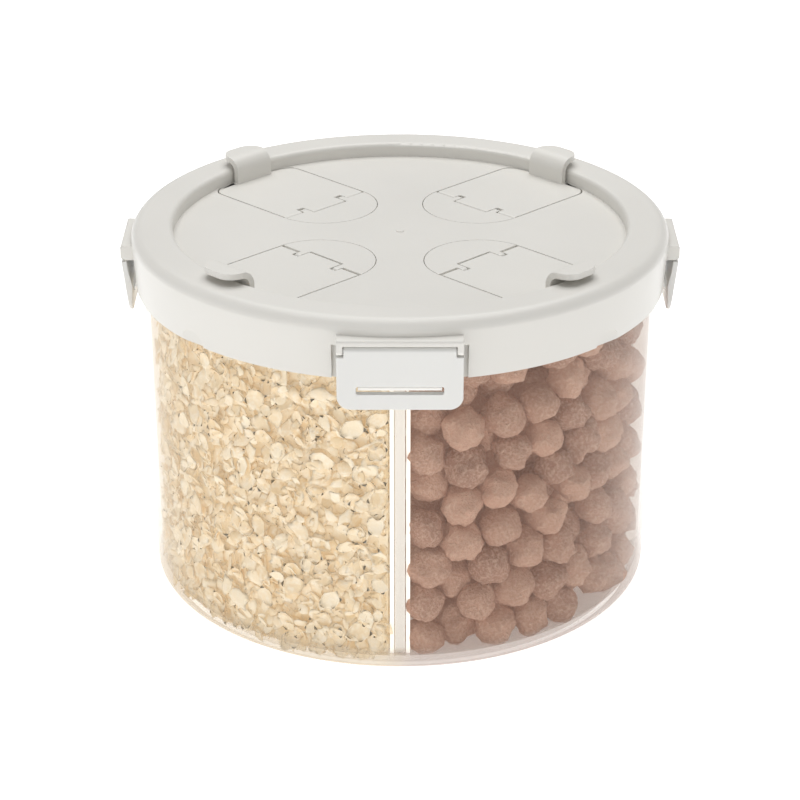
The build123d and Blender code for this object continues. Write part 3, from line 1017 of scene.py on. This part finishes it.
    def side_layer(
        self, grains: Sequence[Grain], rng: np.random.Generator, skin: bpy.types.Material, axis: int
    ) -> bpy.types.Object:
        """Presses flakes against one divider panel, as seen once it is lifted out.

        Args:
            grains: The modelled flakes.
            rng: The seeded source of randomness.
            skin: The flakes' material.
            axis: Which way the panel faces, 0 for X and 1 for Y.

        Returns:
            The staged layer.
        """
        sizes = rng.uniform(*self.side_sizes, self.side_flakes)
        places = np.empty((self.side_flakes, 3))
        places[:, axis] = -self.panel - 0.2 * sizes
        places[:, 1 - axis] = -rng.uniform(self.panel + 3.0 * MM, self.wall - 5.0 * MM, self.side_flakes)
        places[:, 2] = rng.uniform(self.floor + 3.0 * MM, self.top - self.crown, self.side_flakes)
        normal = rng.normal(scale=self.side_looseness, size=(self.side_flakes, 3))
        normal[:, axis] += 1.0
        return scatter(f"oat_side_{'xy'[axis]}", grains, places, facing_turns(normal, rng), sizes, skin)


@dataclass
class CocoaFill:
    """Cocoa balls in the front right compartment, settled by a small packing run."""

    wall: float = 84.9 * MM
    floor: float = 2.4 * MM
    top: float = 112.0 * MM
    panel: float = 1.9 * MM
    balls: int = 262
    smallest: float = 6.3 * MM
    largest: float = 7.4 * MM
    azimuths: tuple[float, float] = (275.0, 355.0)
    rounds: int = 500
    shapes: int = 6
    sink: float = 0.05 * MM
    push_share: float = 0.25
    seed: int = 5

    def build(self) -> list[bpy.types.Object]:
        """Packs the balls and heaps them up.

        Returns:
            The staged balls.
        """
        rng = np.random.default_rng(self.seed)
        skin = CerealSkin(
            "cocoa_skin",
            light=(0.69, 0.42, 0.31),
            dark=(0.46, 0.26, 0.19),
            spot=(0.80, 0.58, 0.46),
            pit_scale=900.0,
            pit_depth=0.0022,
            # painted glow that fills the shade between the balls
            painted_glow=0.12,
        ).material()
        grains = [
            model_grain((1.0, 0.97 - 0.03 * (k % 3), 0.93), 0.21 + 0.03 * k, 0.0, 5.1 * k + 1.0, 3)
            for k in range(self.shapes)
        ]
        sizes = rng.uniform(self.smallest, self.largest, self.balls)
        places = self.packed(rng, sizes)
        turns = random_turns(rng, self.balls)
        return [scatter("cocoa_balls", grains, places, turns, 1.02 * sizes, skin)]

    def packed(self, rng: np.random.Generator, sizes: np.ndarray) -> np.ndarray:
        """Pushes overlapping balls apart while they settle.

        Args:
            rng: The seeded source of randomness.
            sizes: Each ball's radius in metres.

        Returns:
            Each ball's middle in metres.
        """
        azimuth = np.radians(rng.uniform(*self.azimuths, self.balls))
        radius = (self.wall - sizes) * np.sqrt(rng.uniform(0.02, 1.0, self.balls))
        height = rng.uniform(self.floor, self.top, self.balls)
        place = np.stack([radius * np.cos(azimuth), radius * np.sin(azimuth), height], axis=1)
        apart = sizes[:, None] + sizes[None, :]
        for turn in range(self.rounds):
            place[:, 2] -= self.sink * (1.0 - turn / self.rounds)
            gap = place[:, None, :] - place[None, :, :]
            distance = np.linalg.norm(gap, axis=2) + 1e-9
            np.fill_diagonal(distance, 1.0)
            push = np.clip(apart - distance, 0.0, None)
            np.fill_diagonal(push, 0.0)
            place += self.push_share * np.einsum("ij,ijk->ik", push / distance, gap)
            place[:, 0] = np.maximum(place[:, 0], self.panel + sizes)
            place[:, 1] = np.minimum(place[:, 1], -self.panel - sizes)
            place[:, 2] = np.clip(place[:, 2], self.floor + sizes, self.top - sizes)
            reach = np.linalg.norm(place[:, :2], axis=1)
            place[:, :2] *= np.minimum(1.0, (self.wall - sizes) / reach)[:, None]
        return place


# ---- the studio ------------------------------------------------------------------------------


@dataclass
class Studio:
    """Camera, floor and soft light."""

    elevation: float = 24.64
    room_light: float = 0.36
    backdrop: float = 1.0
    distance: float = 0.9146
    aim_height: float = 0.0594
    lens: float = 116.7
    sensor: float = 36.0
    floor_size: float = 9.0

    def build(self) -> None:
        """Sets up the camera, the floor and the lights."""
        self.add_camera()
        self.add_floor()
        self.add_lights()

    def add_camera(self) -> None:
        """Places the camera in front, looking down at the tub's middle."""
        lens = bpy.data.cameras.new("studio_camera")
        lens.sensor_width = self.sensor
        lens.lens = self.lens
        camera = bpy.data.objects.new("studio_camera", lens)
        bpy.context.scene.collection.objects.link(camera)
        tilt = math.radians(self.elevation)
        back = Vector((0.0, -math.cos(tilt), math.sin(tilt)))
        camera.location = Vector((0.0, 0.0, self.aim_height)) + self.distance * back
        camera.rotation_euler = (-back).to_track_quat("-Z", "Y").to_euler()
        bpy.context.scene.camera = camera

    def add_floor(self) -> None:
        """Lays the pale floor under the foot ring."""
        bpy.ops.mesh.primitive_plane_add(size=self.floor_size, location=(0.0, 0.0, 0.0))
        floor = bpy.context.object
        floor.name = "studio_floor"
        floor.data.materials.append(LitSweep("floor_white", albedo=0.85, glow=0.75).material())

    def add_light(self, name: str, place: Sequence[float], size: float, power: float) -> None:
        """Adds one soft square light that faces the dispenser.

        Args:
            name: The light's name.
            place: Where it hangs, in metres.
            size: Its side in metres.
            power: Its power in watts.
        """
        lamp = bpy.data.lights.new(name, "AREA")
        lamp.size = size
        lamp.energy = power
        holder = bpy.data.objects.new(name, lamp)
        bpy.context.scene.collection.objects.link(holder)
        holder.location = place
        aim = Vector((0.0, 0.0, self.aim_height)) - Vector(place)
        holder.rotation_euler = aim.to_track_quat("-Z", "Y").to_euler()

    def add_lights(self) -> None:
        """Hangs the soft lights and sets the room's even light."""
        self.add_light("overhead_soft", place=(0.02, 0.36, 1.3), size=1.2, power=12.8)
        self.add_light("front_fill", place=(-0.35, -1.35, 0.50), size=0.9, power=2.1)
        self.add_light("left_fill", place=(-1.3, -0.2, 0.40), size=0.7, power=0.8)
        world = bpy.data.worlds.new("studio_room")
        world.use_nodes = True
        room = world.node_tree.nodes["Background"]
        room.inputs["Color"].default_value = (1.0, 1.0, 1.0, 1.0)
        seen = world.node_tree.nodes.new("ShaderNodeLightPath").outputs["Is Camera Ray"]
        level = world.node_tree.nodes.new("ShaderNodeMapRange")
        level.inputs["To Min"].default_value = self.room_light
        level.inputs["To Max"].default_value = self.backdrop
        world.node_tree.links.new(seen, level.inputs["Value"])
        world.node_tree.links.new(level.outputs["Result"], room.inputs["Strength"])
        bpy.context.scene.world = world
        bpy.context.scene.view_settings.view_transform = "Standard"


def main() -> None:
    """Builds the dispenser piece by piece and reports each one."""
    logging.basicConfig(level=logging.INFO, format="%(name)s: %(message)s")
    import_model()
    for assembly in (Tub(), Divider(), Lid(), FlipCovers(), Latches()):
        for piece in assembly.build():
            LOG.info("%s: %s, %d faces", type(assembly).__name__, piece.name, len(piece.data.polygons))
    for fill in (OatFill(), CocoaFill()):
        for heap in fill.build():
            LOG.info("%s: %s, %d faces", type(fill).__name__, heap.name, len(heap.data.polygons))
    Studio().build()


if __name__ == "__main__":
    main()
